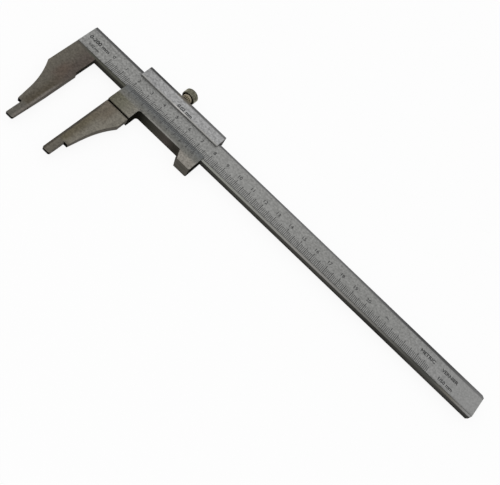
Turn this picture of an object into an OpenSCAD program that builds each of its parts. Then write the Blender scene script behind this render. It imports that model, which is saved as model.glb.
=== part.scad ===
// Vernier caliper with nib jaws, lying on its back and part open.
// Shapes are drawn from the measuring datum: X from the fixed measuring face along the beam,
// Y from the beam's centre line (the jaws hang towards -Y), Z from the beam's back face.
// The placed() module then puts the origin under the middle of the whole caliper.

/* [Beam] */
// Length of the beam, end to end
beam_l = 305; // [290:1:340]
// Width of the beam's scale face
beam_w = 17.5; // [15:0.5:22]
// Thickness of the beam
beam_t = 4; // [3.5:0.1:6]
// Length of the beam behind the fixed measuring face, and the fixed jaw's width
beam_head = 16; // [14:0.5:22]
// Width of the ground land below the scale face
land_w = 1.6; // [1:0.1:2.5]
// Step from the scale face down to the land and the jaws
land_drop = 0.25; // [0.1:0.05:0.6]
// Width of the bevel along the beam's upper front edge
beam_bevel_w = 1.4; // [0.8:0.1:2]
// Depth of the bevel along the beam's upper front edge
beam_bevel_drop = 0.5; // [0.2:0.1:1]
// Corner chamfer at the beam's free end
tail_chamfer = 1.4; // [0.5:0.1:3]

/* [Jaws] */
// Reach of both jaws below the beam
jaw_l = 64; // [56:1:80]
// Width of the moving jaw at its root
jaw_w = 15.8; // [14:0.1:18]
// Straight part of a jaw's outer edge, measured from the beam
jaw_straight = 22; // [17:0.5:26]
// Width of a jaw just above its nib
shoulder_w = 7.3; // [6.5:0.1:9]
// Lean of the tapered outer edge, in degrees
taper_angle = 8; // [5:0.1:10]
// Straight part of the taper above the nib
taper_l = 9.7; // [6:0.1:14]
// Length of the inside-measuring nib
nib_l = 11.3; // [8:0.1:13]
// Width of the nib, half the closed inside size
nib_w = 5; // [4:0.1:6]
// Radius of the nib's rounded inside-measuring face
nib_r = 4.6; // [4:0.1:6]
// Corner radius at the nib's end
nib_corner = 1; // [0.4:0.1:1.4]
// Thickness of the nib at its end
nib_t = 2; // [1.5:0.1:3]
// Length over which the jaws thin towards the nib's end
thin_l = 24; // [12:0.5:30]
// Depth of the relief at the fixed jaw's root
relief_d = 0.7; // [0.3:0.1:1.2]
// Length of the relief below the beam
relief_l = 16; // [10:0.5:18]
// Jaw opening at which the caliper is stored
jaw_opening = 22.3; // [5:0.1:60]

/* [Fixed jaw joint] */
// Thickness of the lap behind the beam's head
lap_t = 1.8; // [1.2:0.1:2.2]
// Height of the lap above the beam's lower edge
lap_h = 13.5; // [11:0.5:14]
// Beam metal left at each side of the lap
lap_side = 2; // [1.5:0.1:3]
// Depth of the blind rivet holes
lap_rivet_l = 3.2; // [2.6:0.1:3.3]
// Diameter of the jaw rivets
rivet_d = 3; // [2:0.1:3.4]

/* [Slider] */
// Length of the slider frame
slider_l = 59.8; // [56:0.1:70]
// Distance from the moving measuring face back to the frame's end
slider_setback = 0.2; // [0.1:0.1:1.5]
// Wall behind the beam
back_wall = 2.95; // [2:0.05:4]
// Wall below the beam
lower_wall = 4.95; // [4:0.05:7]
// Wall above the gib
rail_wall = 3.7; // [2.5:0.1:5]
// Height of the front lip and the vernier over the scale face
lip_t = 1.35; // [1:0.05:2.5]
// Reach of the front lip over the scale face
lip_reach = 3.75; // [2.5:0.05:6]
// Width of the bevel along the rail's upper front edge
rail_bevel_w = 1.8; // [0.8:0.1:2.5]
// Depth of the bevel along the rail's upper front edge
rail_bevel_drop = 0.6; // [0.2:0.1:1]
// Chamfer along the lower front edge
lower_chamfer = 0.7; // [0.4:0.1:1.2]
// Width of the block that carries the moving jaw
block_w = 15.9; // [15:0.1:20]
// Depth of the block below the frame
block_h = 8.85; // [8:0.05:12]
// Fillet between block and frame
block_fillet = 1.7; // [0.5:0.1:3]
// Width of the thumb lug at its root
lug_w = 11.9; // [8:0.1:16]
// Depth of the thumb lug below the frame
lug_h = 6; // [4:0.1:9]
// Run of the slant on the thumb lug's inner side
lug_slant = 2.7; // [1:0.1:4]
// Straight part of the inner side above the slant
lug_root = 1; // [0.4:0.1:3]
// Small chamfer at the thumb lug's outer corner
lug_corner = 0.6; // [0.2:0.1:1.5]

/* [Moving jaw joint] */
// Height of the tang inside the block
tang_h = 7.5; // [5:0.1:9]
// Block metal left at each side of the tang
tang_side = 2; // [1.5:0.1:2.4]
// Block metal left in front of the rivets
rivet_cover = 0.8; // [0.5:0.1:1.2]

/* [Vernier] */
// Reach of the vernier's reading edge over the beam
vernier_reach = 3.1; // [2.5:0.1:5]
// Thickness of the reading edge
edge_t = 0.3; // [0.2:0.05:0.6]
// Diameter of the vernier rivets
vernier_rivet_d = 2.2; // [1.5:0.1:2.6]
// Depth of the vernier rivets in the frame
vernier_rivet_l = 3; // [2:0.1:4]
// Distance of the vernier rivets from the plate's ends
vernier_rivet_in = 2.4; // [2:0.1:3.5]

/* [Gib] */
// Thickness of the gib strip
gib_t = 1.6; // [1.2:0.1:2.4]
// Play above the gib
gib_room = 0.15; // [0.05:0.05:0.4]
// Play at each edge of the gib
gib_side = 0.1; // [0.05:0.05:0.4]
// Distance of the gib from each end of the frame
gib_end = 1.5; // [0.5:0.1:4]
// Diameter of the gib screws
gib_screw_d = 3; // [2:0.1:3.6]
// Distance between the gib screws
gib_screw_pitch = 40; // [30:0.5:48]
// Diameter of the gib screws' points
gib_point_d = 1.6; // [1:0.1:1.9]
// Depth of the dimples that hold the gib
gib_dimple = 0.5; // [0.3:0.1:0.9]

/* [Clamp] */
// Distance of the clamp screw from the frame's jaw end
clamp_from_end = 26.8; // [20:0.1:36]
// Diameter of the knurled head
head_d = 9; // [7.6:0.1:9.9]
// Height of the knurled head
head_l = 4.4; // [3:0.1:7]
// Number of grooves round the knurled head
groove_n = 40; // [24:1:44]
// Diameter of the cutter that makes the grooves
groove_d = 0.6; // [0.4:0.05:0.7]
// Depth of the grooves
groove_deep = 0.22; // [0.1:0.02:0.3]
// Diameter of the neck below the head
neck_d = 6; // [5:0.1:7.5]
// Length of the neck
neck_l = 3.1; // [2:0.1:5]
// Number of flutes round the neck
flute_n = 16; // [12:1:20]
// Diameter of the cutter that makes the flutes
flute_d = 0.8; // [0.6:0.05:0.9]
// Depth of the flutes
flute_deep = 0.25; // [0.1:0.05:0.3]
// Plain rim left above the flutes
rim_l = 0.7; // [0.4:0.1:1.2]
// Gap between the neck and the rail when loose
neck_gap = 0.35; // [0.35:0.05:1]
// Diameter of the clamp screw's stem
stem_d = 4; // [3:0.1:4.4]
// Length of the stem's upper end inside the head
stub_l = 2.8; // [1.5:0.1:2.9]
// Thickness of the clamp pad
pad_t = 1.2; // [0.9:0.1:1.8]
// Gap between the clamp pad and the gib when loose
pad_gap = 0.25; // [0.1:0.05:0.3]
// Diameter of the spigot that carries the pad
spigot_d = 2; // [1.4:0.1:2.4]
// Length of the spigot
spigot_l = 0.6; // [0.4:0.1:0.7]

/* [Stop screw] */
// Distance of the stop screw from the beam's free end
stop_inset = 9; // [5:0.5:12]
// Diameter of the stop screw's head
stop_head_d = 5.5; // [4.5:0.1:7]
// Height of the stop screw's head
stop_head_h = 1.8; // [1.2:0.1:2]
// Diameter of the stop screw's shank
stop_d = 3; // [2:0.1:3.5]
// Length of the stop screw's shank in the beam
stop_l = 3; // [2:0.1:3.2]

/* [Fits] */
// Clearance of the slider on the beam
slide_gap = 0.05; // [0.03:0.01:0.1]
// Clearance round pressed and riveted pieces
joint_gap = 0.02; // [0.01:0.01:0.05]
// Radial clearance of the clamp screw and its pad
turn_gap = 0.05; // [0.02:0.01:0.1]

/* [Hidden] */
$fn = 96;
overcut = 1;
slot_w = 0.5;
slot_d = 0.7;
edge_break = 0.4;

// Beam and jaws
beam_top = beam_w / 2;
beam_low = -beam_w / 2;
tail_x = beam_l - beam_head;
blade_t = beam_t - land_drop;
tip_y = beam_low - jaw_l;
shoulder_y = tip_y + nib_l;
straight_y = beam_low - jaw_straight;
stop_x = tail_x - stop_inset;

// Slider
slider_x = jaw_opening + slider_setback;
slider_end = slider_x + slider_l;
slot_low = beam_low - slide_gap;
slot_back = -slide_gap;
lip_z = beam_t + slide_gap;
front_z = lip_z + lip_t;
back_z = slot_back - back_wall;
gib_y = beam_top + slide_gap;
gib_top = gib_y + gib_t;
slot_top = gib_top + gib_room;
rail_y = slot_top + rail_wall;
lip_y = beam_top - lip_reach;
low_y = slot_low - lower_wall;
rib_y = low_y + lower_chamfer;
block_y = low_y - block_h;
block_end = slider_x + block_w;
lug_x = slider_end - lug_w;
lug_y = low_y - lug_h;

// Tang and rivets of the moving jaw
tang_x = slider_x + tang_side;
tang_w = min(block_end, jaw_opening + jaw_w) - tang_side - tang_x;

// Vernier
edge_y = beam_low + vernier_reach;
vernier_rivet_y = (slot_low + rib_y) / 2;

// Clamp screw, along -Y into the rail
clamp_x = slider_x + clamp_from_end;
clamp_z = beam_t / 2;
pad_y = gib_top + pad_gap;
neck_y = rail_y + neck_gap;
head_y = neck_y + neck_l;
head_top = head_y + head_l;

// Middle and underside of the whole caliper
mid_x = tail_x - beam_l / 2;
mid_y = (head_top + tip_y) / 2;
low_z = min(back_z, clamp_z - head_d / 2);

// Centres of the rivets and gib screws
lap_x = lap_side - beam_head;
lap_w = beam_head - relief_d - 2 * lap_side;
lap_rivets = [
    [lap_x + lap_w / 4, beam_low + lap_h * 0.75],
    [lap_x + lap_w * 3 / 4, beam_low + lap_h * 0.75],
    [lap_x + lap_w / 2, beam_low + lap_h * 0.3]];
tang_rivets = [for (i = [0:2]) [tang_x + tang_w * (2 * i + 1) / 6, block_y + tang_h / 2]];
vernier_rivets = [
    [slider_x + vernier_rivet_in, vernier_rivet_y], [slider_end - vernier_rivet_in, vernier_rivet_y]];
gib_screws = [for (side = [-1, 1]) (slider_x + slider_end) / 2 + side * gib_screw_pitch / 2];

steel = [0.62, 0.62, 0.61];
ground = [0.44, 0.41, 0.37];
vernier_grey = [0.5, 0.52, 0.53];
brass = [0.62, 0.55, 0.36];
nickel = [0.47, 0.45, 0.36];

// Height of the vernier's sloping face at a place across the beam
function slope_z(y) = front_z - (front_z - lip_z - edge_t) * (y - rib_y) / (edge_y - rib_y);

// Puts the origin under the middle of the caliper
module placed() translate([-mid_x, -mid_y, -low_z]) children();

// Extrudes a YZ section along the beam
module along_x(start, length) translate([start, 0, 0]) rotate([90, 0, 90]) linear_extrude(length) children();

// Extrudes an XY outline upwards
module plate(low, high) translate([0, 0, low]) linear_extrude(high - low) children();

// A round pin or hole along Z
module pin_z(place, d, low, high) translate([place[0], place[1], low]) cylinder(d = d, h = high - low);

// A round pin or hole along Y
module pin_y(x, z, d, low, high) translate([x, low, z]) rotate([-90, 0, 0]) cylinder(d = d, h = high - low);

// What a fillet or a round takes from a square corner at the origin
module corner(r) difference() {
    square(r);
    translate([r, r]) circle(r);
}

// Beam: the section run along X, with its free end's corners cut
module beam_section() polygon([
    [beam_low, 0], [beam_top, 0], [beam_top, beam_t - beam_bevel_drop], [beam_top - beam_bevel_w, beam_t],
    [beam_low + land_w, beam_t], [beam_low + land_w, blade_t], [beam_low, blade_t]]);

module beam_outline() polygon([
    [-beam_head, beam_low], [tail_x - tail_chamfer, beam_low], [tail_x, beam_low + tail_chamfer],
    [tail_x, beam_top - tail_chamfer], [tail_x - tail_chamfer, beam_top], [-beam_head, beam_top]]);

module beam() color(steel) difference() {
    intersection() {
        along_x(-beam_head, beam_l) beam_section();
        plate(0, beam_t) beam_outline();
    }
    translate([lap_x - joint_gap, beam_low - overcut, -overcut])
        cube([lap_w + 2 * joint_gap, lap_h + joint_gap + overcut, lap_t + joint_gap + overcut]);
    for (p = lap_rivets) pin_z(p, rivet_d + 2 * joint_gap, -overcut, lap_rivet_l + joint_gap);
    pin_z([stop_x, 0], stop_d + 2 * joint_gap, -overcut, stop_l + joint_gap);
}

// Jaw blade: measuring face on the Y axis, outer edge towards +X.
// The outer edge drops straight, sweeps in on an arc and runs down a taper to the nib's shoulder.
module blade_outline(root_w, root_y) {
    taper = [sin(taper_angle), cos(taper_angle)];
    outward = [cos(taper_angle), -sin(taper_angle)];
    shoulder = [shoulder_w, shoulder_y];
    tangent = shoulder + taper_l * taper;
    chord = [root_w, straight_y] - tangent;
    sweep_r = chord * chord / (2 * chord * outward);
    difference() {
        polygon([[0, root_y], [root_w, root_y], [root_w, straight_y], tangent, shoulder, [0, shoulder_y]]);
        translate(tangent + sweep_r * outward) circle(sweep_r, $fn = 360);
    }
}

module nib_outline() difference() {
    translate([0, tip_y]) square([nib_w, nib_l + overcut]);
    translate([0, tip_y]) corner(nib_corner);
    translate([nib_w, tip_y]) mirror([1, 0]) corner(nib_corner);
}

// Side view of a jaw: the back slopes up towards the nib's end
module blade_section(root_y) polygon([
    [root_y, 0], [root_y, blade_t], [tip_y, blade_t], [tip_y, blade_t - nib_t], [tip_y + thin_l, 0]]);

// The nib's outer face is part of a cylinder along the jaw
module blade(root_w, root_y) intersection() {
    union() {
        plate(0, blade_t) blade_outline(root_w, root_y);
        intersection() {
            plate(0, blade_t) nib_outline();
            pin_y(nib_w - nib_r, blade_t / 2, 2 * nib_r, tip_y, shoulder_y + overcut);
        }
    }
    along_x(0, root_w) blade_section(root_y);
}

// Fixed jaw: blade with a relieved root, and a lap riveted behind the beam's head
module fixed_jaw() color(ground) difference() {
    union() {
        mirror([1, 0, 0]) blade(beam_head, beam_low);
        translate([lap_x, beam_low, 0]) cube([lap_w, lap_h, lap_t]);
    }
    translate([-relief_d, beam_low - relief_l, -overcut])
        cube([relief_d + overcut, relief_l + overcut, blade_t + 2 * overcut]);
    for (p = lap_rivets) pin_z(p, rivet_d + 2 * joint_gap, -overcut, lap_t + overcut);
}

module fixed_jaw_rivet(i) color(steel) pin_z(lap_rivets[i], rivet_d, 0, lap_rivet_l);

// Stop screw: slotted cheese head on the beam's back
module stop_screw() color(steel) difference() {
    translate([stop_x, 0, 0]) rotate_extrude() polygon([
        [0, -stop_head_h], [stop_head_d / 2 - edge_break, -stop_head_h],
        [stop_head_d / 2, edge_break - stop_head_h], [stop_head_d / 2, 0],
        [stop_d / 2, 0], [stop_d / 2, stop_l], [0, stop_l]]);
    translate([stop_x - slot_w / 2, -stop_head_d, -stop_head_h - overcut])
        cube([slot_w, 2 * stop_head_d, slot_d + overcut]);
}

// Slider frame: a C section round the beam, with the jaw block and the thumb lug below it
module frame_section() polygon([
    [low_y, back_z], [rail_y, back_z], [rail_y, front_z - rail_bevel_drop], [rail_y - rail_bevel_w, front_z],
    [lip_y, front_z], [lip_y, lip_z], [slot_top, lip_z], [slot_top, slot_back], [slot_low, slot_back],
    [slot_low, lip_z], [rib_y, lip_z], [rib_y, front_z], [low_y, front_z - lower_chamfer]]);

module block_outline() {
    translate([slider_x, block_y]) square([block_w, rib_y - block_y]);
    translate([block_end, low_y]) mirror([0, 1]) corner(block_fillet);
}

module lug_outline() polygon([
    [lug_x, rib_y], [lug_x, low_y - lug_root], [lug_x + lug_slant, lug_y],
    [slider_end - lug_corner, lug_y], [slider_end, lug_y + lug_corner], [slider_end, rib_y]]);

module slider_frame() color(steel) difference() {
    union() {
        along_x(slider_x, slider_l) frame_section();
        plate(back_z, front_z) block_outline();
        plate(back_z, front_z) lug_outline();
    }
    translate([tang_x - joint_gap, block_y - overcut, -joint_gap])
        cube([tang_w + 2 * joint_gap, tang_h + joint_gap + overcut, blade_t + 2 * joint_gap]);
    for (p = tang_rivets)
        pin_z(p, rivet_d + 2 * joint_gap, back_z - overcut, front_z - rivet_cover + joint_gap);
    for (p = vernier_rivets)
        pin_z(p, vernier_rivet_d + 2 * joint_gap, lip_z - vernier_rivet_l - joint_gap, lip_z + overcut);
    for (x = gib_screws) pin_y(x, clamp_z, gib_screw_d + 2 * joint_gap, slot_top - overcut, rail_y + overcut);
    pin_y(clamp_x, clamp_z, stem_d + 2 * turn_gap, slot_top - overcut, rail_y + overcut);
}

// Moving jaw: blade with a tang riveted into the block
module moving_jaw() color(ground) difference() {
    union() {
        translate([jaw_opening, 0, 0]) blade(jaw_w, block_y);
        translate([tang_x, block_y - overcut, 0]) cube([tang_w, tang_h + overcut, blade_t]);
    }
    for (p = tang_rivets) pin_z(p, rivet_d + 2 * joint_gap, -overcut, blade_t + overcut);
}

module moving_jaw_rivet(i) color(steel) pin_z(tang_rivets[i], rivet_d, back_z, front_z - rivet_cover);

// Vernier plate: slopes from the frame's lower edge to a thin reading edge over the scale
module vernier_section(under) polygon([
    [rib_y, under], [rib_y, front_z], [edge_y, slope_z(edge_y)], [edge_y, under]]);

module vernier_plate() color(vernier_grey) difference() {
    along_x(slider_x, slider_l) vernier_section(lip_z);
    for (p = vernier_rivets) pin_z(p, vernier_rivet_d + 2 * joint_gap, lip_z - overcut, front_z + overcut);
}

module vernier_rivet(i) color(steel) intersection() {
    pin_z(vernier_rivets[i], vernier_rivet_d, lip_z - vernier_rivet_l, front_z);
    along_x(slider_x, slider_l) vernier_section(back_z);
}

// Gib: strip between the rail and the beam, held by the points of two screws
module gib() color(brass) difference() {
    translate([slider_x + gib_end, gib_y, gib_side])
        cube([slider_l - 2 * gib_end, gib_t, beam_t - 2 * gib_side]);
    for (x = gib_screws)
        pin_y(x, clamp_z, gib_point_d + 2 * joint_gap, gib_top - gib_dimple - joint_gap, gib_top + overcut);
}

module gib_screw(i) color(steel) difference() {
    union() {
        pin_y(gib_screws[i], clamp_z, gib_screw_d, gib_top, rail_y - edge_break);
        pin_y(gib_screws[i], clamp_z, gib_point_d, gib_top - gib_dimple, gib_top + overcut);
    }
    translate([gib_screws[i] - gib_screw_d, rail_y - edge_break - slot_d, clamp_z - slot_w / 2])
        cube([2 * gib_screw_d, slot_d + overcut, slot_w]);
}

// Clamp pad: turns freely on the spigot of the clamp screw
module clamp_pad() color(brass) difference() {
    pin_y(clamp_x, clamp_z, stem_d, pad_y, pad_y + pad_t);
    pin_y(clamp_x, clamp_z, spigot_d + 2 * turn_gap,
        pad_y + pad_t - spigot_l - turn_gap, pad_y + pad_t + overcut);
}

// Turns a half profile, written as radius and height, about the clamp screw's axis
module turned() translate([clamp_x, 0, clamp_z]) rotate([-90, 0, 0]) rotate_extrude() children();

// Cuts n round-bottomed grooves along the clamp screw's axis into a cylinder of diameter d
module grooves(n, d, cutter, depth, low, high) translate([clamp_x, 0, clamp_z])
    for (i = [1:n]) rotate([0, 360 * i / n, 0]) pin_y((d + cutter) / 2 - depth, 0, cutter, low, high);

// Clamp screw: one turned piece with spigot, stem, fluted neck and a stub for the head
module screw_blank() turned() polygon([
    [0, pad_y + pad_t - spigot_l], [spigot_d / 2, pad_y + pad_t - spigot_l], [spigot_d / 2, pad_y + pad_t],
    [stem_d / 2, pad_y + pad_t], [stem_d / 2, neck_y], [neck_d / 2, neck_y], [neck_d / 2, head_y],
    [stem_d / 2, head_y], [stem_d / 2, head_y + stub_l], [0, head_y + stub_l]]);

module clamp_screw() color(brass) difference() {
    screw_blank();
    grooves(flute_n, neck_d, flute_d, flute_deep, neck_y - overcut, head_y - rim_l);
}

// Clamp knob: the head, pressed on the stub, with a straight knurl
module knob_blank() turned() polygon([
    [0, head_y + stub_l + joint_gap], [stem_d / 2 + joint_gap, head_y + stub_l + joint_gap],
    [stem_d / 2 + joint_gap, head_y], [head_d / 2 - edge_break, head_y], [head_d / 2, head_y + edge_break],
    [head_d / 2, head_top - edge_break], [head_d / 2 - edge_break, head_top], [0, head_top]]);

module clamp_knob() color(nickel) difference() {
    knob_blank();
    grooves(groove_n, head_d, groove_d, groove_deep, head_y - overcut, head_top + overcut);
}

placed() beam();
placed() fixed_jaw();
placed() fixed_jaw_rivet(0);  // fixed_jaw_rivet_1
placed() fixed_jaw_rivet(1);  // fixed_jaw_rivet_2
placed() fixed_jaw_rivet(2);  // fixed_jaw_rivet_3
placed() stop_screw();
placed() slider_frame();
placed() moving_jaw();
placed() moving_jaw_rivet(0);  // moving_jaw_rivet_1
placed() moving_jaw_rivet(1);  // moving_jaw_rivet_2
placed() moving_jaw_rivet(2);  // moving_jaw_rivet_3
placed() vernier_plate();
placed() vernier_rivet(0);  // vernier_rivet_1
placed() vernier_rivet(1);  // vernier_rivet_2
placed() gib();
placed() gib_screw(0);  // gib_screw_1
placed() gib_screw(1);  // gib_screw_2
placed() clamp_pad();
placed() clamp_screw();
placed() clamp_knob();
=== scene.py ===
# %% [markdown]
# # A vernier caliper, finished in Blender
#
# The CAD model already has every piece of the caliper, in the right place and able to move. What it lacks is looks:
# satin, ground and milled steel, worn brass, and scales filled with black. This lesson adds those and moves nothing.
# The frame is loaded first, so that all that follows can sit on it.

import bmesh
import bpy
import numpy as np
from mathutils import Matrix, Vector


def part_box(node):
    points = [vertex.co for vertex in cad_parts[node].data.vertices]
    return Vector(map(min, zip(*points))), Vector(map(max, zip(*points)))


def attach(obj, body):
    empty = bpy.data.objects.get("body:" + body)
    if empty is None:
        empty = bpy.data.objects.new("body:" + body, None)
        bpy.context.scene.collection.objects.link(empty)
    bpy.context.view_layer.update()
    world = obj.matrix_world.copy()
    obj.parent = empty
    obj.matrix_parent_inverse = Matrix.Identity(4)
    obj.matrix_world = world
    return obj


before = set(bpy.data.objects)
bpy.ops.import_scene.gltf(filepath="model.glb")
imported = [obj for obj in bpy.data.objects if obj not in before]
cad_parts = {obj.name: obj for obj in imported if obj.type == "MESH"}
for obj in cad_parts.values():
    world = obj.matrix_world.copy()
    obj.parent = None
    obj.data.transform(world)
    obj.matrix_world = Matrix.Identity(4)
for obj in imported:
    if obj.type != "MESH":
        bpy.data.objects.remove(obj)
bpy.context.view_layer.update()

print("pieces from the CAD model:", len(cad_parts))

# %% [markdown]
# ## The drawing's own millimetres
#
# The caliper was drawn with its origin where the fixed jaw's measuring face meets the beam's middle line,
# on the back of the beam. The packed model is centred, so the same point has other numbers there.
# We could type centred metres everywhere, but a maker thinks in the drawing's millimetres.
# So one small function turns them into the frame, and the rest of the lesson reads like the drawing.

# %% Drawing to frame
DRAWING_CENTRE = np.array((136.5, -25.325, -3.0))


def in_frame(points):
    """Frame point = (drawing point - centre) / 1000, for one point or a whole array of them."""
    return (np.asarray(points, float) - DRAWING_CENTRE) / 1000


low, high = (np.array(corner) * 1000 + DRAWING_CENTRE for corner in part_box("beam"))
print("beam in the drawing, mm:", np.round(low, 2), np.round(high, 2))

# %% [markdown]
# ## The camera
#
# The picture looks down on the tool from in front, with the beam running from the upper left to the lower right.
# A camera can be aimed with a Track To constraint, but the tool also lies turned in the frame.
# So we give the camera its three axes outright: what is right, up and behind in the picture.
# The lens is in millimetres on a sensor 36 mm wide, and 500 pixels span that sensor.

# %% Camera
PICTURE_WIDTH = 500
FOCAL_PIXELS = 884.77
eye = in_frame((157.34, -293.18, 407.40))
right = np.array((0.720423, 0.596104, 0.354473))
ahead = np.array((-0.046769, 0.551704, -0.832728))
up = np.cross(right, ahead)

camera_data = bpy.data.cameras.new("camera")
camera_data.sensor_width = 36
camera_data.lens = FOCAL_PIXELS / PICTURE_WIDTH * camera_data.sensor_width
camera_data.clip_start = 0.01
camera = bpy.data.objects.new("camera", camera_data)
bpy.context.scene.collection.objects.link(camera)
pose = np.eye(4)
pose[:3, :3] = np.column_stack((right, up, -ahead))
pose[:3, 3] = eye
camera.matrix_world = Matrix(pose.tolist())
bpy.context.scene.camera = camera
print("lens mm:", round(camera_data.lens, 2), "eye:", np.round(eye, 3))

# %% [markdown]
# ## Wires for materials
#
# A finish on real metal is a recipe: grain, stains, wear. In Blender it is a web of nodes, and a web written
# link by link is hard to read. So one small class wraps a socket, and ordinary arithmetic on it adds the Math nodes.
# Everything else comes from one method that takes the node's type, its settings, and its inputs.

# %% Wire class
class Wire:
    """A value in a material's node tree. Arithmetic on it adds Math nodes."""

    def __init__(self, tree, socket=None):
        self.tree, self.socket = tree, socket

    def node(self, kind, settings=None, inputs=None, out=0):
        """Adds one node of this kind, sets it up, feeds its inputs, and gives the wire of one output."""
        made = self.tree.nodes.new("ShaderNode" + kind)
        for key, value in (settings or {}).items():
            if key == "stops":
                ramp = made.color_ramp.elements
                while len(ramp) < len(value):
                    ramp.new(0.5)
                for stop, (place, colour) in zip(ramp, value):
                    stop.position, stop.color = place, colour
            else:
                setattr(made, key, value)
        for key, value in (inputs or {}).items():
            if isinstance(value, Wire):
                self.tree.links.new(value.socket, made.inputs[key])
            else:
                made.inputs[key].default_value = value
        return Wire(self.tree, made.outputs[out] if len(made.outputs) else None)

    def math(self, operation, *values):
        return self.node("Math", {"operation": operation}, dict(enumerate(values)))

    def __add__(self, other):
        return self.math("ADD", self, other)

    def __sub__(self, other):
        return self.math("SUBTRACT", self, other)

    def __rsub__(self, other):
        return self.math("SUBTRACT", other, self)

    def __mul__(self, other):
        return self.math("MULTIPLY", self, other)

    __radd__, __rmul__ = __add__, __mul__


print("reflected operators:", [name for name in vars(Wire) if name.startswith("__r")])

# %% [markdown]
# ## A soft room
#
# Bare metal shows whatever stands around it, so the room matters as much as the lamp. A studio would hang white
# cloths round the tool. Here the world is a grey dome that grows paler overhead, at a plain level, so that a tone
# comes out about as it is written.

# %% Room
world = bpy.data.worlds.new("soft_room")
world.use_nodes = True
world.node_tree.nodes.clear()
bpy.context.scene.world = world
room = Wire(world.node_tree)
height = room.node("SeparateXYZ", {}, {0: room.node("TexCoord", out=0)}, out=2)
dome = height.node("MapRange", {"interpolation_type": "SMOOTHSTEP"},
                   {0: height, 1: 0.05, 2: 0.95, 3: 0.55, 4: 1.02})
room.node("OutputWorld", {}, {0: room.node("Background", {}, {0: (1, 1, 1, 1), 1: dome})})
bpy.context.scene.view_settings.view_transform = "Standard"
print("made", world.name)

# %% [markdown]
# ## A white table and a lamp
#
# The tool lies on a plain white table in soft light. A lamp bright enough to burn the table white would also
# burn out the steel. So the table's own material helps: a ray from the camera or from a mirror-like face
# mostly meets plain white, and all other rays meet an ordinary white table that still takes the shadow.

# %% Table and lamp
TABLE_HALF, TABLE_Z = 3.0, -0.0002
GRID = 9
GLOW_SHARE = 0.9
span = np.linspace(-TABLE_HALF, TABLE_HALF, GRID)
floor_x, floor_y = np.meshgrid(span, span)
floor_points = np.stack((floor_x, floor_y, np.full_like(floor_x, TABLE_Z)), axis=-1).reshape(-1, 3)
corner = (np.arange(GRID - 1)[:, None] * GRID + np.arange(GRID - 1)).reshape(-1, 1)
floor_mesh = bpy.data.meshes.new("floor")
floor_mesh.from_pydata(floor_points.tolist(), [], (corner + np.array((0, 1, GRID + 1, GRID))).tolist())
floor = bpy.data.objects.new("floor", floor_mesh)
bpy.context.scene.collection.objects.link(floor)

table = bpy.data.materials.new("white_table")
table.use_nodes = True
table.node_tree.nodes.clear()
wire = Wire(table.node_tree)
camera_ray, glossy_ray, through_ray = (
    wire.node("LightPath", out=f"Is {kind} Ray") for kind in ("Camera", "Glossy", "Transmission"))
seen = wire.math("MAXIMUM", wire.math("MAXIMUM", camera_ray, glossy_ray), through_ray)
paper = wire.node("BsdfDiffuse", {}, {0: (0.86, 0.86, 0.86, 1)})
glow = wire.node("Emission", {}, {0: (1, 1, 1, 1), 1: 1.0})
wire.node("OutputMaterial", {}, {0: wire.node("MixShader", {}, {0: seen * GLOW_SHARE, 1: paper, 2: glow})})
floor_mesh.materials.append(table)

lamp_data = bpy.data.lights.new("soft_lamp", "AREA")
lamp_data.shape, lamp_data.size, lamp_data.energy = "DISK", 0.6, 1.2
lamp = bpy.data.objects.new("soft_lamp", lamp_data)
lamp.location = (-0.25, -0.35, 1.0)
lamp.rotation_euler = lamp.location.to_track_quat("Z", "Y").to_euler()
bpy.context.scene.collection.objects.link(lamp)
print("floor faces:", len(floor_mesh.polygons), "lamp watts:", lamp_data.energy)

# %% [markdown]
# ## Where a point is, and how tones are written
#
# Every finish here changes over the piece: a ground land is not a satin face, and a side is darker than a top.
# We could paint vertex colours, but the CAD meshes stay as they are. So a finish asks where the point lies in the
# drawing, in millimetres, and masks do the rest. Tones are written as the 0 to 255 numbers one reads off a screen,
# and turned into the linear light that shaders work in.

# %% Position, masks and tones
def recipe(name):
    """An empty material, and a wire with the point's place in the drawing.

    Place = object coordinates x 1000 + the drawing's centre.
    """
    material = bpy.data.materials.new(name)
    material.use_nodes = True
    material.node_tree.nodes.clear()
    start = Wire(material.node_tree)
    place = start.node("VectorMath", {"operation": "MULTIPLY_ADD"},
                       {0: start.node("TexCoord", out="Object"), 1: (1000,) * 3, 2: tuple(DRAWING_CENTRE)})
    return material, place


def axes(place):
    """A place's x, y and z, each as a wire of its own."""
    return (place.node("SeparateXYZ", {}, {0: place}, out=axis) for axis in range(3))


def step(value, start, end, first=0.0, last=1.0):
    """A smooth step: first below start, last above end."""
    return value.node("MapRange", {"interpolation_type": "SMOOTHSTEP"},
                      {0: value, 1: start, 2: end, 3: first, 4: last})


def band(value, start, end, soft=0.05):
    """1 from start to end and 0 elsewhere, with soft edges."""
    return step(value, start - soft, start + soft) * step(value, end - soft, end + soft, 1.0, 0.0)


def tone(red, green=None, blue=None):
    """Screen numbers to linear light: c <= 0.04045 -> c / 12.92, else ((c + 0.055) / 1.055) ** 2.4."""
    screen = np.array((red, red if green is None else green, red if blue is None else blue)) / 255
    light = np.where(screen <= 0.04045, screen / 12.92, ((screen + 0.055) / 1.055) ** 2.4)
    return tuple(float(c) for c in light) + (1.0,)


def mix(share, first, second):
    """One colour where share is 0, the other where it is 1."""
    return share.node("Mix", {"data_type": "RGBA"}, {0: share, 6: first, 7: second}, out=2)


def along(value, *stops):
    """Tones at chosen values, straight between them: a stop is (value, grey) or (value, red, green, blue)."""
    start, end = stops[0][0], stops[-1][0]
    share = value.node("MapRange", {}, {0: value, 1: start, 2: end})
    ramp = [((stop[0] - start) / (end - start), tone(*stop[1:])) for stop in stops]
    return value.node("ValToRGB", {"stops": ramp}, {0: share})


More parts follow.
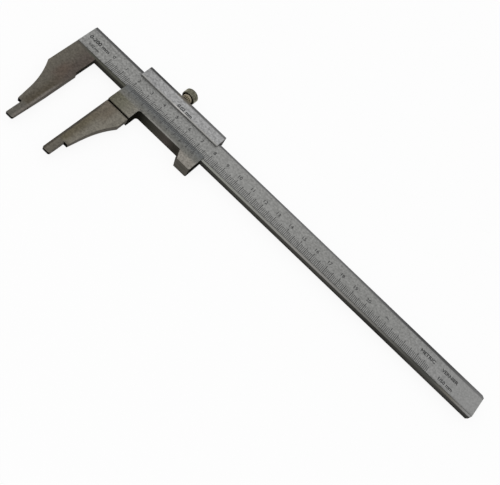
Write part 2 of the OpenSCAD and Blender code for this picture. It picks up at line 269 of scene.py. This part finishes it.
def shaded(colour, amount):
    """A colour times a grey amount that varies."""
    grey = amount.node("CombineXYZ", {}, {0: amount, 1: amount, 2: amount})
    return amount.node("Mix", {"data_type": "RGBA", "blend_type": "MULTIPLY"}, {0: 1.0, 6: colour, 7: grey}, out=2)


print("tone 136 is", round(tone(136)[0], 3), "in linear light")

# %% [markdown]
# ## Grain
#
# Blasting, grinding and milling leave different marks: even specks, long fine lines, short cross lines.
# One noise makes all three when it is stretched along the way the tool went. It goes into the tone, the roughness
# and the bump alike, because a real scratch changes all of them.

# %% Grain and the shader
MICRON = 1e-6


def noise(place, turns, detail=2.0):
    """Noise from 0 to 1 that repeats about so many times per millimetre along x, y and z."""
    spread = place.node("VectorMath", {"operation": "MULTIPLY"}, {0: place, 1: tuple(turns)})
    return place.node("TexNoise", {}, {"Vector": spread, "Scale": 1.0, "Detail": detail, "Roughness": 0.55})


def mottle(place, turns, strength):
    """A multiplier near 1: 1 + (noise - 0.5) x strength, where strength may vary too."""
    return (noise(place, (turns,) * 3) - 0.5) * strength + 1


def around_one(marks, strength):
    """Marks from 0 to 1 as a multiplier: 1 + (marks - 0.5) x strength."""
    return marks * strength + (1 - strength / 2)


def finished(material, colour, roughness, grain, depth, metallic=1.0, gloss=0.0):
    """Closes a recipe: grain is a height from 0 to 1, and depth is how deep it goes in metres."""
    bump = grain.node("Bump", {}, {"Strength": 1.0, "Distance": depth, "Height": grain})
    shader = grain.node("BsdfPrincipled", {}, {"Base Color": colour, "Roughness": roughness, "Metallic": metallic,
                                               "Specular IOR Level": gloss, "Normal": bump})
    grain.node("OutputMaterial", {}, {0: shader})
    print("made", material.name)
    return material


print("grain is from", round(4 * MICRON, 6), "to", round(6 * MICRON, 6), "metres deep")

# %% [markdown]
# ## The beam's finishes
#
# The beam has three: a blasted satin face that carries the scale, a ground land a quarter of a millimetre lower along
# its bottom edge, and dull sides, whose dark tones are painted shade. Three materials on split meshes would do it
# too.
# One material with masks keeps the bar in one piece: height tells face from land and side.
# The land's tones along its length are painted reflection and shade, with some wear: dark at the head, where it runs
# on into the jaw, bright in the middle where the slider rubs it, and dark again near the free end, before a painted
# warm glint at the end. A dark line along the upper edge is painted shade, darkest at both ends, and the face is
# darker along its lower edge, where the lines end.
# The dull sides have no mirror in them, so they aren't metallic to the shader.

# %% Where the beam's surfaces are
HEAD_X, TAIL_X = -16, 289
FACE_Z, LAND_Z = 4.0, 3.75
material, place = recipe("satin_beam")
x, y, z = axes(place)
blast = noise(place, (5, 5, 5), 3)
ground = noise(place, (0.12, 9, 9), 3)
speckle = mottle(place, 0.8, step(x, 30, 90, 1.55, 1.15) * step(x, 255, 276, 1.0, 0.55))
on_bevel = step(y, 7.3, 7.45) * step(z, 3.45, 3.55)
on_face = step(z, LAND_Z + 0.005, LAND_Z + 0.025) * (1 - on_bevel)
on_land = step(z, LAND_Z - 0.15, LAND_Z - 0.05) * step(y, -6, -5, 1.0, 0.0) * (1 - on_face)
on_back = step(z, 0.02, 0.05, 1.0, 0.0)
# Painted shade: the dark line along the upper edge and its bevel, wider towards both ends.
reach = step(x, 20, 90, 0.45, 0.0) + step(x, 175, 225, 0.0, 0.5) + step(x, 250, 265, 0.0, 0.3)
painted_edge_shade = step(y + reach, 6.6, 7.4) * (on_face + on_bevel)
# The face is darker along its lower edge, where the lines end.
low_margin = step(y, -6.8, -5.9, 1.0, 0.0) * on_face
print("beam from x", HEAD_X, "to", TAIL_X, "with its face at z", FACE_Z, "and its land at z", LAND_Z)

# %% Beam steel
satin = along(x, (HEAD_X, 141, 141, 139), (20, 141, 141, 139), (100, 145, 145, 143), (180, 140, 140, 138),
              (220, 139, 139, 137), (260, 143, 143, 142), (TAIL_X, 145, 145, 144))
# The land's tones along x are painted reflection and shade, with some wear in the middle, and a painted warm glint at
# x 272.
land = along(x, (HEAD_X, 95, 91, 85), (2, 80, 80, 72), (20, 86, 86, 78), (85, 147, 148, 142), (175, 145, 143, 140),
             (220, 111, 110, 106), (246, 77, 77, 73), (258, 77, 78, 75), (272, 116, 113, 106), (TAIL_X, 152))
# The sides' tones along x are painted shade.
side = along(x, (HEAD_X, 52, 50, 46), (10, 56, 55, 50), (60, 58, 58, 54), (180, 62, 61, 58), (220, 47, 46, 43),
             (260, 65, 64, 61), (TAIL_X, 54, 53, 51))
# The painted dark edge line's tones along x.
rim = along(x, (HEAD_X, 98), (10, 90), (20, 87), (60, 98), (95, 117), (170, 124), (205, 108), (240, 77),
            (262, 86), (280, 112), (TAIL_X, 120))
back = shaded(shaded(tone(120, 120, 117), around_one(ground, 0.5)), mottle(place, 0.7, 0.9))
# The sides grow lighter towards the top: painted shade.
colour = shaded(shaded(side, around_one(ground, 0.6)), step(z, 0.8, 3.4, 0.9, 1.5))
colour = mix(on_back, colour, back)
colour = mix(on_land, colour, shaded(land, around_one(ground, 0.3)))
colour = mix(on_face, colour, shaded(shaded(satin, around_one(blast, 0.24)), speckle - low_margin * 0.14))
colour = mix(painted_edge_shade, colour, shaded(rim, around_one(ground, 0.3)))
grain = blast * on_face + ground * (1 - on_face)
beam_steel = finished(material, colour, blast * 0.12 + 0.46, grain, 6 * MICRON,
                      on_bevel + on_face * 0.4 + on_land + on_back)

# %% [markdown]
# ## The jaws' finish
#
# The jaws are ground and then lapped on their measuring faces, so they look darker and browner than the satin beam.
# Grinding runs along each blade. The outer part of a blade is lighter and greyer than the middle, and the nib is grey
# again, where it is handled. Along the measuring edge runs a narrow line of its own tone, light on the fixed jaw and
# dark on the moving one. The sawn edges are dull, and their tones are painted shade. Painted shade is black in the
# corner behind the nib and at the tip, and a painted shadow lies in the corner under the slider's block, with painted
# light on the root just below it.
# One recipe serves both jaws: it needs the tones, and which way the blade's outer edge lies from its measuring face.

# %% Jaw steel
TIP_Y, SHOULDER_Y, THIN_Y = -72.75, -61.45, -48.75
THINNED = 1.75
FIXED_X, MOVING_X = 0.0, 22.3
BLOCK_Y = -22.6


def jaw_steel(name, face_x, outward, root, middle, outer, blade, nib, edge, edge_top, side, painted_lift, corner_y=None):
    """Tones of a jaw whose measuring face is at face_x; w = (x - face_x) x outward is the distance from that face.

    The back rises from 0 at THIN_Y to THINNED at TIP_Y, and what lies between back and front is a side. A painted
    shadow lies in the corner under a block that ends at corner_y.
    """
    material, place = recipe(name)
    x, y, z = axes(place)
    w = (x - face_x) * outward
    ground = noise(place, (7, 0.15, 7), 3)
    cloud = noise(place, (0.16, 0.09, 0.1), 3) - 0.5
    back = y.node("MapRange", {}, {0: y, 1: THIN_Y, 2: TIP_Y, 3: 0.0, 4: THINNED})
    on_front = step(z, LAND_Z - 0.15, LAND_Z - 0.05)
    on_side = step(z - back, 0.05, 0.15) * (1 - on_front)
    on_shoulder = on_side * band(y, SHOULDER_Y - 0.08, SHOULDER_Y + 0.08, 0.03)
    on_tip = on_side * step(y, TIP_Y + 0.3, TIP_Y + 0.9, 1.0, 0.0)
    lapped = step(w, 0.02, 0.06, 1.0, 0.0)
    upper = mix(step(w + cloud * 4, 2.5, 13), tone(*root), tone(*outer))
    upper = mix(band(w + cloud * 5, 3, 9, 2) * band(y + cloud * 9, -40, -24, 6), upper, tone(*middle))
    lower = mix(step(w + cloud * 3, 2.5, 8), tone(*blade), tone(*outer))
    face = mix(step(y + cloud * 8, -42, -29), lower, upper)
    face = mix(step(y + cloud * 4, -63, -59, 1.0, 0.0), face, tone(*nib))
    face = mix(band(w, -0.3, 1.3, 0.5) * step(y, edge_top - 10, edge_top, 1.0, 0.0), face, tone(*edge))
    # The root just below the block is brightened by the given amount: painted light.
    face = shaded(face, ground * 0.2 + cloud * 0.25 + 0.9 + step(y, -27, -23.5) * painted_lift)
    # The sides' tones are painted shade: dark on the fixed jaw, lighter on the moving jaw's lit side.
    colour = shaded(mix(on_side, face, tone(*side)), mottle(place, 0.9, 1.2))
    colour = mix(lapped, colour, shaded(tone(98, 93, 88), around_one(ground, 0.3)))
    # Painted shade: a dark side at the tip, and a black shoulder behind the nib.
    colour = mix(on_tip, colour, tone(32, 31, 29))
    colour = mix(on_shoulder, colour, tone(14, 13, 12))
    # A painted shadow in the corner under the block.
    if corner_y is not None:
        colour = mix(band(y, corner_y - 0.35, corner_y + 0.5) * on_front, colour, tone(16, 15, 13))
    return finished(material, colour, ground * 0.12 + 0.42, ground, 4 * MICRON, (1 - on_side) * 0.45)


fixed_steel = jaw_steel("fixed_jaw_ground", FIXED_X, -1, root=(86, 79, 74), middle=(92, 82, 74), outer=(99, 95, 87),
                        blade=(83, 77, 67), nib=(94, 91, 85), edge=(112, 107, 101), edge_top=-34, side=(46, 44, 40),
                        painted_lift=0.0)
moving_steel = jaw_steel("moving_jaw_ground", MOVING_X, 1, root=(109, 102, 92), middle=(107, 100, 89),
                         outer=(120, 116, 107), blade=(97, 91, 77), nib=(99, 95, 87), edge=(76, 72, 65), edge_top=-22,
                         side=(97, 93, 87), painted_lift=0.16, corner_y=BLOCK_Y)

# %% [markdown]
# ## The slider's finish
#
# The frame round the beam is milled from bar: a pale rail above, an olive block where the jaw goes in, and a warmer
# thumb lug, all on one front face. Its sides are dull from the mill, and their tones are painted shade: nearly black
# beside the block, brown beside the lug. Edges that thumbs and cloths rub are bare and bright, and painted highlights
# add to them, most of all a painted glint below the rail's marking. The rail's bevel carries a painted dark line,
# darkest at its left end, and a painted reflection of the clamp screw's brass.
# Masks on x, y and z give each part its tone.

# %% Where the slider's surfaces are
FRONT_Z = 5.4
LIP_Y = 5.05
material, place = recipe("milled_slider")
x, y, z = axes(place)
milled = noise(place, (6, 0.5, 3), 3)
streak = noise(place, (0.06, 1.1, 1.1), 3)
patch = noise(place, (0.22, 0.4, 0.4))
on_front = step(z, 4.68, 4.74)
on_back = step(z, -2.96, -2.9, 1.0, 0.0)
on_rail = step(y, -2, 0)
# Painted shade: a dark line on the rail's bevel, darkest at its left end.
painted_edge_shade = step(y, 11.6, 12.7) * on_front
# Bright edges on the rail's lip and the thumb rib: partly wear, partly painted highlight. The glint is a painted
# highlight below the marking.
rail_edge = band(y, LIP_Y, LIP_Y + 0.7, 0.15) * step(patch + step(x, 56, 66, 0.0, 0.2), 0.4, 0.6)
thumb_edge = band(y, -13.7, -13.1, 0.1) * band(x, 44, 69, 2.5) * 0.4
glint = band(y, LIP_Y, LIP_Y + 0.45, 0.1) * band(x, 47.5, 57.5, 1.5) * step(patch, 0.2, 0.45)
print("slider's front at z", FRONT_Z, "with the rail's lip at y", LIP_Y)

# %% Slider steel
rail = shaded(along(x, (22, 146), (36, 158), (60, 158), (83, 160)), mottle(place, 0.8, 1.5))
lower = along(x, (22, 90, 88, 76), (30, 109, 107, 95), (38, 127, 124, 116), (40, 126, 124, 119), (70, 128, 124, 118),
              (72, 138, 134, 127), (83, 139, 135, 128))
lower = mix(step(y, -15.5, -13.2), lower, shaded(tone(116, 115, 110), around_one(patch, 0.2)))
lower = shaded(lower, mottle(place, 0.9, 1.5))
# Painted shade on the sides along x: black at the step down to the jaw, brown beside the lug.
under = along(x, (22.5, 72, 70, 67), (22.6, 18, 17, 15), (38, 20, 19, 16), (42, 42, 41, 36), (50, 62, 61, 55),
              (60, 74, 69, 65), (66, 56, 53, 48), (69, 55, 52, 47), (73, 86, 83, 77), (82, 86, 83, 77),
              (82.28, 34, 33, 30))
# The wall under the rail's lip is painted shade too.
wall = shaded(mix(on_rail, under, tone(95, 94, 91)), streak * 0.9 + 0.55)
front = shaded(mix(on_rail, lower, rail), around_one(milled, 0.2))
# The painted dark bevel line's tones along x, with a painted reflection of the screw's brass at x 46.5 to 52.5.
bevel = along(x, (22, 78), (28, 76), (32, 68), (38, 76), (44, 94), (46.5, 112, 107, 98), (52.5, 116, 111, 102),
              (56, 98), (60, 100), (68, 112), (83, 116))
rear = shaded(shaded(tone(122, 121, 117), around_one(milled, 0.5)), mottle(place, 0.7, 0.9))
colour = mix(on_front, mix(on_back, wall, rear), front)
colour = mix((rail_edge + thumb_edge) * on_front, colour, tone(162, 161, 157))
colour = mix(glint * on_front, colour, tone(206, 203, 199))
colour = mix(painted_edge_shade, colour, shaded(bevel, around_one(milled, 0.3)))
slider_steel = finished(material, colour, milled * 0.14 + 0.42, milled, 6 * MICRON, on_front * 0.5 + on_back)

# %% [markdown]
# ## The vernier's finish
#
# The vernier plate is blasted like the beam's face, but a shade cooler and darker, and paler and warmer at its foot.
# Its two rivets were dressed off with the slope, so they share its finish and hardly show.

# %% Vernier steel
SLOPE_FOOT, SLOPE_EDGE = -13.05, -5.65
material, place = recipe("satin_vernier")
_, y, _ = axes(place)
blast = noise(place, (5, 5, 5), 3)
across = along(y, (SLOPE_FOOT, 115, 114, 110), (-11.5, 112, 112, 108), (-9, 110, 111, 110), (-7.8, 107, 109, 109),
               (SLOPE_EDGE, 103, 104, 104))
colour = shaded(shaded(across, around_one(blast, 0.2)), mottle(place, 0.9, 1.3))
vernier_steel = finished(material, colour, blast * 0.12 + 0.44, blast, 5 * MICRON, 0.5)

# %% [markdown]
# ## Rivets, screws and the gib
#
# Rivets and set screws are bright turned steel, and the gib is drawn brass. Both show the way the tool went over
# them, so one recipe takes two tones and the direction of the marks.

# %% Turned and drawn finishes
def drawn(name, dark, light, turns):
    """Fine tool marks: noise drawn out along the way the tool went."""
    material, place = recipe(name)
    marks = noise(place, turns, 3)
    colour = shaded(mix(noise(place, (0.5, 0.5, 0.5)), tone(*dark), tone(*light)), around_one(marks, 0.4))
    return finished(material, colour, marks * 0.15 + 0.36, marks, 4 * MICRON)


rivet_steel = drawn("rivet_bright", (120, 119, 116), (140, 139, 136), (3, 3, 9))
gib_brass = drawn("gib_brass", (150, 124, 74), (172, 146, 92), (0.2, 6, 6))

# %% [markdown]
# ## The clamp
#
# The clamp screw's neck is brass, with flutes that are dark at their bottoms, under a rim with a painted highlight.
# Its end at the rail is painted shade. The knob over it is the same metal under worn, darkened nickel, with painted
# shade nearly black on its underside.
# The dark flute bottoms could be painted by hand, but a distance from the screw's axis already tells the bottom of a
# groove from the land beside it.

# %% Clamp finishes
CLAMP_X, CLAMP_Z = 49.3, 2.0


def clamp_finish(name, land_r, depth, low_y, high_y, rim_y, dark, light, groove_tone, rim, shade_tone, blotch):
    """Dark groove bottoms lie where r = sqrt((x - CLAMP_X)^2 + (z - CLAMP_Z)^2) falls short of land_r, between low_y
    and high_y.

    The end at low_y gets a painted shade tone, and what lies past rim_y has the rim's tone, on the screw a painted
    highlight.
    """
    material, place = recipe(name)
    x, y, z = axes(place)
    rings = noise(place, (1, 8, 1), 3)
    side, rise = x - CLAMP_X, z - CLAMP_Z
    r = x.math("SQRT", side * side + rise * rise)
    # Dark flute bottoms, found from the distance to the screw's axis.
    in_groove = step(r, land_r - depth, land_r - depth * 0.3, 1.0, 0.0) * band(y, low_y, high_y)
    # in_shade is painted shade on the end at low_y; on_rim gives the screw's neck a painted highlight near the head.
    in_shade = step(y, low_y, low_y + 0.06, 1.0, 0.0)
    on_rim = step(y, rim_y, rim_y + 0.1)
    worn = step(noise(place, (0.5, 0.5, 0.5)), 0.35, 0.65)
    colour = shaded(mix(worn, tone(*dark), tone(*light)), around_one(rings, 0.4))
    colour = mix(on_rim, mix(in_groove, colour, tone(*groove_tone)), tone(*rim))
    colour = shaded(mix(in_shade, colour, tone(*shade_tone)), mottle(place, 0.7, blotch))
    bare = (1 - in_groove) * (1 - in_shade) * (1 - on_rim * 0.7)
    return finished(material, colour, rings * 0.15 + 0.36, rings, 6 * MICRON, bare)


screw_brass = clamp_finish("screw_brass", land_r=3.0, depth=0.25, low_y=14.6, high_y=17.0, rim_y=16.6,
                           dark=(118, 111, 95), light=(148, 140, 121), groove_tone=(66, 59, 48), rim=(182, 172, 152),
                           shade_tone=(60, 54, 44), blotch=0.8)
knob_nickel = clamp_finish("knob_worn_nickel", land_r=4.5, depth=0.22, low_y=17.7, high_y=22.1, rim_y=21.5,
                           dark=(110, 108, 94), light=(160, 157, 141), groove_tone=(98, 96, 83), rim=(92, 90, 77),
                           shade_tone=(33, 29, 20), blotch=1.5)

# %% [markdown]
# ## Finishes onto the CAD pieces
#
# The CAD meshes arrive with plain colours in their material slots. Only the slots change here; the meshes stay.
# Pieces that aren't named below are rivets and screws of bright steel.

# %% Finishes onto the CAD pieces
finish_of = {"beam": beam_steel, "fixed_jaw": fixed_steel, "moving_jaw": moving_steel, "slider_frame": slider_steel,
             "vernier_plate": vernier_steel, "vernier_rivet_1": vernier_steel, "vernier_rivet_2": vernier_steel,
             "gib": gib_brass, "clamp_pad": gib_brass, "clamp_screw": screw_brass, "clamp_knob": knob_nickel}
for name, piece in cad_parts.items():
    for slot in piece.material_slots:
        slot.material = finish_of.get(name, rivet_steel)
print("finished", len(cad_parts), "CAD pieces")

# %% [markdown]
# ## Scale lines
#
# On the real beam the lines are cut and filled with black. A line could be a stripe in the material, but then its
# edges blur with the noise around it and it can't be measured. So each line is a small closed bar of filler,
# sunk in the face and standing 0.01 mm proud. All bars come out of one array operation.

# %% Line maker
SUNK, PROUD = 0.03, 0.01
EDGE_Z = 4.35


def bars(x, width, start, end, surface):
    """Closed bars across the scale.

    Bar i spans x[i] +- width / 2 and y from start[i] to end[i]; its bottom and top are surface(y) - SUNK and + PROUD.
    """
    x, width, start, end = np.broadcast_arrays(x, width, start, end)
    sign = np.array([(a, b, c) for c in (0, 1) for b in (0, 1) for a in (-0.5, 0.5)])
    xs = x[:, None] + width[:, None] * sign[:, 0]
    ys = start[:, None] + (end - start)[:, None] * sign[:, 1]
    zs = surface(ys) - SUNK + (SUNK + PROUD) * sign[:, 2]
    quads = np.array(((0, 2, 3, 1), (4, 5, 7, 6), (0, 1, 5, 4), (2, 6, 7, 3), (0, 4, 6, 2), (1, 3, 7, 5)))
    faces = (np.arange(len(x))[:, None, None] * 8 + quads).reshape(-1, 4)
    return np.stack((xs, ys, zs), axis=-1).reshape(-1, 3), faces.tolist()


def beam_face(y):
    return np.full_like(y, FACE_Z)


def rail_face(y):
    return np.full_like(y, FRONT_Z)


def vernier_face(y):
    """The plate slopes from the slider's front, at its foot, down to its reading edge."""
    return np.interp(y, (SLOPE_FOOT, SLOPE_EDGE), (FRONT_Z, EDGE_Z))


points, faces = bars(np.arange(3.0), 0.2, 0.0, 1.0, beam_face)
print("three bars:", len(points), "points", len(faces), "faces")

# %% [markdown]
# ## Numerals
#
# Numbers are cut above each tenth line. A font outline is the honest way to draw them: Blender fills it,
# gives it a thickness, and hands back a mesh. A font can also be emboldened, but its outline then folds over itself
# in some letters. So the mesh is emboldened here, by moving its walls, then scaled to the height in the drawing and
# laid on its face. All the numerals of one scale become one piece, as one filling of black.

# %% Font outline
MERGE = 0.005


def font_shell(text):
    """A font's outline at size 1, filled and thick: doubles merged, the fill evened out, and faces outwards."""
    words = bpy.data.curves.new("words", "FONT")
    words.body, words.size, words.extrude, words.resolution_u = text, 1.0, 0.1, 3
    words.align_x, words.align_y = "CENTER", "BOTTOM_BASELINE"
    carrier = bpy.data.objects.new("words", words)
    bpy.context.scene.collection.objects.link(carrier)
    bpy.context.view_layer.update()
    mesh = bpy.data.meshes.new_from_object(carrier.evaluated_get(bpy.context.evaluated_depsgraph_get()))
    bpy.data.objects.remove(carrier)
    bpy.data.curves.remove(words)
    shell = bmesh.new()
    shell.from_mesh(mesh)
    bmesh.ops.remove_doubles(shell, verts=shell.verts, dist=MERGE)
    fill = [face for face in shell.faces if len(face.verts) == 3]
    inner = [edge for edge in shell.edges if all(len(face.verts) == 3 for face in edge.link_faces)]
    bmesh.ops.beautify_fill(shell, faces=fill, edges=inner)
    bmesh.ops.recalc_face_normals(shell, faces=shell.faces)
    shell.to_mesh(mesh)
    shell.free()
    return mesh


def emboldened(mesh, bold):
    """A letter's points after every wall has moved outwards by bold.

    A corner moves by bold x 2 s / |s|^2, where s is the sum of the normals of the two walls that meet there.
    """
    points = np.empty(len(mesh.vertices) * 3)
    mesh.vertices.foreach_get("co", points)
    points = points.reshape(-1, 3)
    walls = [face for face in mesh.polygons if len(face.vertices) == 4]
    corners = np.array([face.vertices[:] for face in walls])
    normals = np.array([face.normal[:] for face in walls])
    total = np.zeros_like(points)
    np.add.at(total, corners, normals[:, None])
    return points + bold * 2 * total / np.maximum((total ** 2).sum(axis=1, keepdims=True), 1)


sample = font_shell("8")
print("an 8 has", len(sample.polygons), "faces")
bpy.data.meshes.remove(sample)

# %% Numeral maker
CAPITAL = 0.69


def lettering(text, height, middle, surface, bold):
    """Text whose capitals stand height mm, centred on middle = (x, y) and laid on a face, as points and faces.

    CAPITAL is a capital's height in a font of size 1, and bold is in the same measure. Outline point (u, v) goes to
    (x + u, y + v); its two layers lie at surface(y + v) - SUNK and + PROUD.
    """
    mesh = font_shell(text)
    points = emboldened(mesh, bold)
    u, v = (points[:, :2] * height / CAPITAL).T
    u = u - (u.min() + u.max()) / 2
    ys = middle[1] + v - height / 2
    zs = surface(ys) + np.where(points[:, 2] > 0, PROUD, -SUNK)
    faces = [list(face.vertices) for face in mesh.polygons]
    bpy.data.meshes.remove(mesh)
    return np.stack((middle[0] + u, ys, zs), axis=-1), faces


points, faces = lettering("8", 2.1, (0, 0), beam_face, 0.0)
print("an 8 is", np.round(np.ptp(points, axis=0), 2), "mm")

# %% [markdown]
# ## Black filling
#
# The filler is hard black paint. Years of wiping leave it matte and a bit grey, more in some lines than in others,
# so its tone and roughness follow a slow noise. All the bars and letters of one scale become one filled piece.

# %% Filler
material, place = recipe("black_filling")
worn = noise(place, (0.8, 0.8, 0.8), 3)
speck = noise(place, (8, 8, 8), 2)
colour = mix(worn, tone(18, 18, 19), tone(46, 46, 47))
black_filling = finished(material, colour, speck * 0.2 + 0.5, speck, 4 * MICRON, metallic=0.0, gloss=0.4)


def filled(name, parts, body):
    """One black piece from several (points, faces) pairs, moved into the frame and riding on a body."""
    starts = np.cumsum([0] + [len(points) for points, faces in parts])
    corners = in_frame(np.concatenate([points for points, faces in parts]))
    loops = [[int(start + corner) for corner in face]
             for start, (points, faces) in zip(starts, parts) for face in faces]
    mesh = bpy.data.meshes.new(name)
    mesh.from_pydata(corners.tolist(), [], loops)
    mesh.materials.append(black_filling)
    piece = bpy.data.objects.new(name, mesh)
    bpy.context.scene.collection.objects.link(piece)
    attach(piece, body)
    print(name, len(mesh.polygons), "faces, rides on", body)
    return piece


# %% [markdown]
# ## The main scale
#
# Zero stands 4.7 mm right of the fixed jaw's face, so that the slider's own zero has room. There is one line to the
# millimetre, longer at every fifth and tenth, up to the 200 mm that the tool reads and the 49 mm more that its
# vernier covers. A number at every tenth line counts centimetres.

# %% Main scale
SCALE_ZERO = 4.7
RANGE, VERNIER_SPAN = 200, 49
count = np.arange(RANGE + VERNIER_SPAN + 1.0)
top = np.where(count % 10 == 0, -1.2, np.where(count % 5 == 0, -1.9, -2.7))
width = np.where(count % 5 == 0, 0.38, 0.27)
lines = bars(SCALE_ZERO + count, width, np.full(len(count), -7.1), top, beam_face)
numbers = [lettering(str(k), 2.2, (SCALE_ZERO + 10 * k, 1.35), beam_face, 0.014) for k in range(RANGE // 10 + 1)]
numbers.append(lettering("mm", 1.2, (219, 1.35), beam_face, 0.014))
beam_scale = filled("beam_scale", [lines] + numbers, "beam")

# %% [markdown]
# ## The vernier's scale
#
# Fifty divisions on the slider cover 49 mm of the beam, so each is 0.98 mm, and the line that meets a line on the
# beam gives the fiftieths. The lines start at the thin edge and run down the slope, and every fifth one carries a
# number.

# %% Vernier scale
VERNIER_ZERO, DIVISIONS = 27.0, 50
DIVISION = VERNIER_SPAN / DIVISIONS
count = np.arange(DIVISIONS + 1.0)
foot = np.where(count % 5 == 0, -9.0, -8.2)
lines = bars(VERNIER_ZERO + DIVISION * count, 0.26, foot, np.full(len(count), SLOPE_EDGE - 0.1), vernier_face)
numbers = [lettering(str(k), 1.5, (VERNIER_ZERO + 5 * DIVISION * k, -10.2), vernier_face, 0.012)
           for k in range(DIVISIONS // 5 + 1)]
vernier_scale = filled("vernier_scale", [lines] + numbers, "slider")

# %% [markdown]
# ## Plain markings
#
# Such tools say how far they measure and what one division is worth. These are plain facts in plain letters: the
# range and the division at the beam's head, the division again on the rail, and the kind of scale near the free end.

# %% Markings
rail_mark = filled("rail_mark", [lettering("0.02 mm", 2.15, (55.1, 7.15), rail_face, 0.034)], "slider")
head_mark = filled("head_mark", [lettering("0-200 mm", 2.5, (-6.4, 0.9), beam_face, 0.03),
                                 lettering("0.02 mm", 1.5, (-6.8, -3.6), beam_face, 0.03)], "beam")
tail_mark = filled("tail_mark", [lettering("METRIC", 2.2, (250.0, 1.95), beam_face, 0.03),
                                 lettering("VERNIER", 2.1, (266.6, 1.95), beam_face, 0.03),
                                 lettering("1/50 mm", 2.1, (266.7, -4.1), beam_face, 0.03)], "beam")

# %% [markdown] The finish must not change the tool's size.
